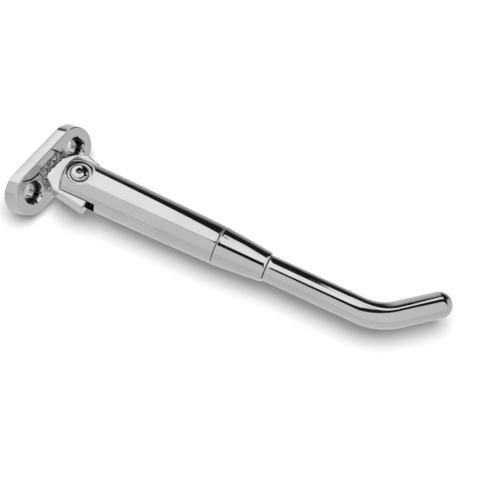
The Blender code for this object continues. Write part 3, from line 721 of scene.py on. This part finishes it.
def make_screw(material):
    """The pivot screw: a domed head with a hexagon socket, and a thread at its far end."""
    edge = 0.5 * MM
    profile = []
    dome_steps = 24
    for i in range(dome_steps + 1):
        angle = math.radians(90) * i / dome_steps
        radius = (SCREW_HEAD_RADIUS - 0.1 * MM) * (0.45 * math.sin(angle) + 0.55 * math.sin(angle) ** 2)
        rise = (SCREW_HEAD_HEIGHT - SCREW_HEAD_RIM) * math.cos(angle)
        profile.append((radius, HEAD_BASE + SCREW_HEAD_RIM + rise))
    profile += arc((SCREW_HEAD_RADIUS - edge, HEAD_BASE + edge), edge, 0, -90, 5)
    end = -(HEAD_BASE + NUT_HEIGHT + 0.6 * MM)
    profile += [(SCREW_RADIUS, HEAD_BASE), (SCREW_RADIUS, -HEAD_BASE)]
    height = -HEAD_BASE
    point = 0.6 * MM
    while height - SCREW_PITCH > end + point:
        profile += [(SCREW_RADIUS - SCREW_THREAD_DEPTH, height - SCREW_PITCH / 2)]
        profile += [(SCREW_RADIUS, height - SCREW_PITCH)]
        height -= SCREW_PITCH
    profile += [(SCREW_RADIUS - point, end), (0, end)]
    screw = put("screw", turned_mesh("screw", profile, steps=96), LEG_FRAME)
    top = HEAD_BASE + SCREW_HEAD_HEIGHT
    corner = SCREW_SOCKET_ACROSS / math.sqrt(3)
    socket = post("socket", corner, top - SCREW_SOCKET_DEPTH, top + MM, LEG_FRAME, 6)
    cone = [(0, top + MM), (corner + 1.2 * MM, top + MM), (0, top - corner - 0.2 * MM)]
    lead = put("lead_in", turned_mesh("lead_in", cone), LEG_FRAME)
    combine(screw, "DIFFERENCE", socket, lead)
    return piece(screw, "leg", "pivot_screw", material)


def make_washers(steel, bronze):
    """The flat washers, the thrust washers and the bush, with rounded edges."""
    flat = rounded_ring(SCREW_RADIUS + GAP, FLAT_WASHER_RADIUS, 0, FLAT_WASHER_THICKNESS, 0.25 * MM)
    thrust = rounded_ring(BUSH_RADIUS + GAP, THRUST_WASHER_RADIUS, 0, MM, 0.2 * MM)
    flat_at = Matrix.Translation((0, 0, RECESS_FLOOR + GAP))
    thrust_at = Matrix.Translation((0, 0, LUG_THICKNESS / 2 + GAP))
    rows = (
        ("screw_washer", "washer_top", flat, LEG_FRAME @ flat_at, steel, "zinc_steel"),
        ("nut_washer", "washer_under", flat, UNDER_LEG @ flat_at, steel, "zinc_steel"),
        ("thrust_washer_upper", "thrust_top", thrust, LEG_FRAME @ thrust_at, bronze, "bronze"),
        ("thrust_washer_lower", "thrust_under", thrust, UNDER_LEG @ thrust_at, bronze, "bronze"),
    )
    for node, name, profile, matrix, material, slot in rows:
        piece(put(name, turned_mesh(name, profile, True), matrix), "leg", node, material)
    half = LUG_THICKNESS / 2
    sleeve = rounded_ring(SCREW_RADIUS + GAP, BUSH_RADIUS, -half, half, 0.2 * MM)
    bush = put("bush", turned_mesh("bush", sleeve, True), Matrix.Translation(PIVOT))
    piece(bush, "mount", "pivot_bush", bronze)


def make_nut(material):
    """A hexagon nut whose corners are turned off, with a hole chamfered at both ends."""
    low = HEAD_BASE
    high = HEAD_BASE + NUT_HEIGHT
    corner = NUT_ACROSS_FLATS / math.sqrt(3)
    nut = post("nut", corner, low, high, UNDER_LEG, 6)
    drop = corner * 0.3
    profile = [(0, high), (corner - 0.95 * MM, high), (corner + 0.2 * MM, high - drop * 0.4)]
    profile += [(corner + 0.2 * MM, low + drop * 0.4), (corner - 0.95 * MM, low), (0, low)]
    combine(nut, "INTERSECT", put("nut_cone", turned_mesh("nut_cone", profile), UNDER_LEG))
    hole = SCREW_RADIUS + GAP
    mouth = [(0, high + MM), (hole + 1.4 * MM, high + MM), (hole, high - 0.4 * MM), (hole, low + 0.4 * MM)]
    mouth += [(hole + 1.4 * MM, low - MM), (0, low - MM)]
    combine(nut, "DIFFERENCE", put("nut_hole", turned_mesh("nut_hole", mouth, steps=64), UNDER_LEG))
    return piece(nut, "leg", "pivot_locknut", material)


def make_spring(material):
    """The coil behind the plunger, closed at both ends, with a mesh of its own."""
    low = PLUNGER_SHOULDER + GAP
    high = SPRING_BORE_END - GAP
    start = low + SPRING_WIRE_RADIUS
    closed_pitch = 2.1 * SPRING_WIRE_RADIUS
    run = high - low - 2 * SPRING_WIRE_RADIUS - 2 * closed_pitch
    per_turn = 36
    count = SPRING_TURNS * per_turn
    curve = bpy.data.curves.new("spring", "CURVE")
    curve.dimensions = "3D"
    curve.bevel_depth = SPRING_WIRE_RADIUS
    curve.bevel_resolution = 4
    curve.use_fill_caps = True
    spline = curve.splines.new("POLY")
    spline.points.add(count)
    for i, point in enumerate(spline.points):
        angle = 2 * math.pi * i / per_turn
        share = min(max((i - per_turn) / (count - 2 * per_turn), 0), 1)
        ends = closed_pitch * (min(i, per_turn) + max(i - count + per_turn, 0)) / per_turn
        across = SPRING_MEAN_RADIUS * math.cos(angle)
        point.co = (start + ends + run * share, across, SPRING_MEAN_RADIUS * math.sin(angle), 1)
    mesh = mesh_of_curve(curve)
    spring = piece(put("spring", mesh, LEG_FRAME), "leg", "plunger_spring", material)
    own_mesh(spring)
    return spring


def make_collar(material):
    """The conical locking collar, with rounded ends."""
    low = LEG_LENGTH + GAP
    edge = 0.7 * MM
    shoulder = low + COLLAR_SHOULDER
    small = arc((COLLAR_SMALL_RADIUS - edge, COLLAR_END - edge), edge, 90, 10, 6)
    large = arc((COLLAR_RADIUS - edge, low + edge), edge, 0, -90, 6)
    profile = [(THREAD_BORE_RADIUS, COLLAR_END - 0.5 * MM), (THREAD_BORE_RADIUS + 0.5 * MM, COLLAR_END)]
    profile += small
    sides = 24
    for i in range(sides + 1):
        share = i / sides
        start_radius, start_at = small[-1]
        swell = 0.12 * MM * math.sin(math.pi * share)
        radius = start_radius + (COLLAR_RADIUS - 0.15 * MM - start_radius) * share + swell
        profile.append((radius, start_at + (shoulder - start_at) * share))
    profile += large
    profile += [(THREAD_BORE_RADIUS, low)]
    collar = put("collar", turned_mesh("collar", closer(profile, 2 * MM), True), ALONG_LEG)
    return piece(collar, "collar", "lock_collar", material)


def rod_stations():
    """The rod's centre line in the leg's frame: place, direction and radius of each ring."""
    shoulder = COLLAR_END + GAP
    ahead = Vector((1, 0, 0))
    stem_end = Vector((ROD_STEM_START, 0, 0))
    stations = [(stem_end, ahead, 0), (stem_end, ahead, ROD_STEM_RADIUS - 0.6 * MM)]
    thread_start = ROD_STEM_START + 0.5 * MM
    thread_step = THREAD_PITCH / 6
    thread_steps = round((shoulder - MM - thread_start) / thread_step)
    for i in range(thread_steps + 1):
        x = thread_start + i * thread_step
        stations.append((Vector((x, 0, 0)), ahead, ROD_STEM_RADIUS))
    edge = 0.6 * MM
    for radius, x in arc((ROD_RADIUS - edge, shoulder + edge), edge, -90, 0, 5):
        stations.append((Vector((x, 0, 0)), ahead, radius))
    tangent = ROD_BEND_RADIUS * math.tan(FOOT_BEND / 2)
    bend_start = ROD_BEND_AT - tangent
    straight = 24
    first = shoulder + edge
    for i in range(1, straight):
        stations.append((Vector((first + (bend_start - first) * i / straight, 0, 0)), ahead, ROD_RADIUS))
    bend_steps = 40
    for i in range(bend_steps + 1):
        angle = FOOT_BEND * i / bend_steps
        x = bend_start + ROD_BEND_RADIUS * math.sin(angle)
        y = ROD_BEND_RADIUS * (1 - math.cos(angle))
        way = Vector((math.cos(angle), math.sin(angle), 0))
        stations.append((Vector((x, y, 0)), way, ROD_RADIUS))
    way = Vector((math.cos(FOOT_BEND), math.sin(FOOT_BEND), 0))
    vertex = Vector((ROD_BEND_AT, 0, 0))
    dome_start = FOOT_LENGTH - FOOT_DOME_LENGTH
    foot_steps = 12
    for i in range(1, foot_steps):
        along = tangent + (dome_start - tangent) * i / foot_steps
        stations.append((vertex + way * along, way, ROD_RADIUS))
    dome_steps = 28
    for i in range(dome_steps + 1):
        angle = math.radians(90) * i / dome_steps
        along = dome_start + FOOT_DOME_LENGTH * math.sin(angle)
        stations.append((vertex + way * along, way, max(ROD_RADIUS * math.cos(angle), 0)))
    return stations


def make_rod(material):
    """The lower rod: a threaded stem inside the leg, a straight bar, a bend and a domed foot."""
    steps = 96
    shoulder = COLLAR_END + GAP
    bm = bmesh.new()
    rings = []
    for centre, way, radius in rod_stations():
        side = Vector((-way.y, way.x, 0))
        threaded = radius == ROD_STEM_RADIUS and centre.x < shoulder
        count = steps if radius > 1e-6 else 1
        ring = []
        for i in range(count):
            turn = i / steps
            reach = thread_radius(radius, centre.x, turn) if threaded else radius
            spoke = side * math.cos(2 * math.pi * turn) + Vector((0, 0, math.sin(2 * math.pi * turn)))
            ring.append(bm.verts.new(centre + spoke * reach))
        rings.append(ring)
    for one, other in zip(rings, rings[1:]):
        join_rings(bm, one, other, steps)
    rod = put("rod", finished_mesh("rod", bm), LEG_FRAME)
    return piece(rod, "lower_leg", "lower_rod", material)


# ---------------------------------------------------------------- studio


def emission_material(name, strength):
    """A surface that only gives off white light."""
    material = bpy.data.materials.new(name)
    material.use_nodes = True
    tree = material.node_tree
    tree.nodes.clear()
    emission = tree.nodes.new("ShaderNodeEmission")
    emission.inputs["Strength"].default_value = strength
    output = tree.nodes.new("ShaderNodeOutputMaterial")
    tree.links.new(emission.outputs["Emission"], output.inputs["Surface"])
    return material


def make_card(name, corners, height, strength):
    """A flat card above the stand that only reflections see. Corners are in metres from the hinge."""
    mesh = bpy.data.meshes.new(name)
    points = [(PIVOT.x + x, PIVOT.y + y, PIVOT.z + height) for x, y in corners]
    mesh.from_pydata(points, [], [tuple(range(len(points)))])
    mesh.materials.append(emission_material(name, strength))
    card = put(name, mesh, Matrix())
    card.visible_camera = False
    card.visible_diffuse = False
    card.visible_shadow = False


def make_cards():
    """A big softbox up and to the far left, a paler ceiling on the near side with a dark gap between them, a
    low strip that the foot mirrors and a high blade that the collar mirrors."""
    softbox = [(-1.4, -0.24), (-0.07, -0.215), (0.07, -0.175), (0.13, -0.09), (0.2, -0.055), (0.2, 0.2)]
    softbox += [(0.14, 0.25), (0.04, 0.26), (-0.02, 0.34), (-0.1, 0.48), (-0.19, 0.6), (-0.33, 0.78)]
    softbox += [(-0.6, 1.1), (-1.4, 1.3)]
    make_card("softbox", softbox, CARD_HEIGHT, 1.18)
    ceiling = [(-4.0, -0.24), (-0.07, -0.215), (0.08, -0.19), (0.13, -0.245), (0.25, -0.27), (0.3, -0.1)]
    ceiling += [(0.33, 0.18), (0.6, 0.3), (4.0, 0.3), (4.0, -4.0), (-4.0, -4.0)]
    make_card("near_ceiling", ceiling, CARD_HEIGHT + 2 * MM, 0.8)
    strip = [(0.17, 0.24), (0.27, 0.27), (0.2, 0.42), (0.12, 0.36)]
    make_card("strip", strip, STRIP_HEIGHT, 1.1)
    blade = [(0.03, 0.5), (-0.04, 0.76), (-0.1, 1.0), (-0.04, 1.05), (0.06, 0.8), (0.12, 0.64)]
    blade += [(0.17, 0.46), (0.1, 0.46)]
    make_card("blade", blade, BLADE_HEIGHT, 1.1)


def room_light(tree):
    """How bright the room is in each direction: pale round about, dark overhead and on its far side, and with
    a bright band between dark ones on the left."""
    coordinates = tree.nodes.new("ShaderNodeTexCoord")
    split = tree.nodes.new("ShaderNodeSeparateXYZ")
    tree.links.new(coordinates.outputs["Generated"], split.inputs["Vector"])
    x, y, z = (split.outputs[axis] for axis in "XYZ")
    squares = [math_node(tree, "MULTIPLY", part, part) for part in (x, y)]
    flat = math_node(tree, "SQRT", math_node(tree, "ADD", *squares), 0)
    across = math_node(tree, "MULTIPLY", x, math.cos(DARK_WAY))
    along = math_node(tree, "MULTIPLY", y, math.sin(DARK_WAY))
    toward_dark = math_node(tree, "ADD", across, along)
    lobe = ramp_node(tree, math_node(tree, "DIVIDE", toward_dark, flat), ((0.86, 0.0), (0.93, 1.0)))
    rise = math_node(tree, "ADD", math_node(tree, "MULTIPLY", z, 0.5), 0.5)
    far = ramp_node(tree, rise, ((0.05, 0.95), (0.47, 0.34), (0.56, 0.07), (0.6, 0.015)))
    around = ramp_node(tree, rise, ((0.0, 0.78), (0.5, 0.7), (0.62, 0.66), (0.74, 0.55), (0.79, 0.012)))
    room = mix_node(tree, lobe, around, far)
    left_mask = ramp_node(tree, math_node(tree, "MULTIPLY", x, -1), ((0.76, 0.0), (0.85, 1.0)))
    left_stops = ((0.3, 0.75), (0.36, 0.06), (0.53, 0.05), (0.56, 1.25), (0.64, 1.25), (0.7, 0.1))
    return mix_node(tree, left_mask, room, ramp_node(tree, rise, left_stops))


def make_world():
    """White to the camera, an even fill on the floor, and to reflections the room."""
    world = bpy.data.worlds.new("studio")
    bpy.context.scene.world = world
    world.use_nodes = True
    tree = world.node_tree
    tree.nodes.clear()
    light_path = tree.nodes.new("ShaderNodeLightPath")
    seen, fill, mirrored = (tree.nodes.new("ShaderNodeBackground") for _ in range(3))
    for background in (seen, fill, mirrored):
        background.inputs["Color"].default_value = (1, 1, 1, 1)
    seen.inputs["Strength"].default_value = 1
    fill.inputs["Strength"].default_value = FLOOR_FILL
    tree.links.new(room_light(tree), mirrored.inputs["Strength"])
    others = tree.nodes.new("ShaderNodeMixShader")
    everything = tree.nodes.new("ShaderNodeMixShader")
    output = tree.nodes.new("ShaderNodeOutputWorld")
    tree.links.new(light_path.outputs["Is Glossy Ray"], others.inputs[0])
    tree.links.new(fill.outputs[0], others.inputs[1])
    tree.links.new(mirrored.outputs[0], others.inputs[2])
    tree.links.new(light_path.outputs["Is Camera Ray"], everything.inputs[0])
    tree.links.new(others.outputs[0], everything.inputs[1])
    tree.links.new(seen.outputs[0], everything.inputs[2])
    tree.links.new(everything.outputs[0], output.inputs["Surface"])


def make_floor():
    """A plain white table at the stand's lowest point. The chrome mirrors the room's own floor instead."""
    low = CAD_BOX[0].z - 0.2 * MM
    half = FLOOR_SIZE / 2
    mesh = bpy.data.meshes.new("floor")
    corners = [(-half, -half, low), (half, -half, low), (half, half, low), (-half, half, low)]
    mesh.from_pydata(corners, [], [(0, 1, 2, 3)])
    material, _, shader = new_material("floor", (0.9, 0.9, 0.9), 1)
    shader.inputs["Metallic"].default_value = 0
    shader.inputs["Specular IOR Level"].default_value = 0
    mesh.materials.append(material)
    floor = put("floor", mesh, Matrix())
    floor.visible_glossy = False


def make_sun():
    """A broad light from nearly overhead, azimuth from +X towards +Y. Reflections see the cards instead."""
    light = bpy.data.lights.new("key", "SUN")
    light.energy = SUN_STRENGTH
    light.angle = math.radians(SUN_SPREAD)
    sun = put("key", light, Matrix())
    a, e = math.radians(SUN_AZIMUTH), math.radians(SUN_ELEVATION)
    way = Vector((math.cos(a) * math.cos(e), math.sin(a) * math.cos(e), math.sin(e)))
    sun.rotation_mode = "QUATERNION"
    sun.rotation_quaternion = way.to_track_quat("Z", "Y")
    sun.visible_glossy = False


def make_camera():
    """The camera above and to the near right, azimuth from -Y towards +X."""
    a, e = CAMERA_AZIMUTH, CAMERA_ELEVATION
    back = Vector((math.sin(a) * math.cos(e), -math.cos(a) * math.cos(e), math.sin(e)))
    camera = bpy.data.objects.new("camera", bpy.data.cameras.new("camera"))
    bpy.context.scene.collection.objects.link(camera)
    turn = (-back).to_track_quat("-Z", "Y").to_matrix().to_4x4() @ Matrix.Rotation(CAMERA_ROLL, 4, "Z")
    camera.matrix_world = Matrix.Translation(CAMERA_PLACE) @ turn
    camera.data.lens = CAMERA_LENS
    camera.data.sensor_width = CAMERA_SENSOR
    camera.data.clip_start = 0.01
    camera.data.clip_end = 20
    bpy.context.scene.camera = camera


# ---------------------------------------------------------------- the scene

chrome = make_chrome()
weld_plate = make_weld_plate()
zinc = make_steel("zinc_steel", (0.58, 0.59, 0.62), 0.28)
hardened = make_steel("hardened_steel", (0.36, 0.36, 0.38), 0.26)
spring_steel = make_steel("spring_steel", (0.25, 0.25, 0.27), 0.34)
bronze = make_steel("bronze", (0.6, 0.4, 0.18), 0.32, stain=0.7)

make_flange(chrome)
make_lug(chrome)
make_weld(1, "weld_run_upper", weld_plate)
make_weld(-1, "weld_run_lower", weld_plate)
make_leg(chrome)
make_screw(chrome)
make_washers(zinc, bronze)
make_nut(zinc)
make_spring(spring_steel)
make_collar(chrome)
make_rod(chrome)
for node, material in (
    ("plunger_guide", bronze),
    ("cam_plunger", hardened),
    ("spring_seat_washer", zinc),
    ("preload_plug", zinc),
):
    frame["nodes"][node].material_slots[0].material = material

make_floor()
make_cards()
make_world()
make_sun()
make_camera()
bpy.context.scene.view_settings.view_transform = "Standard"
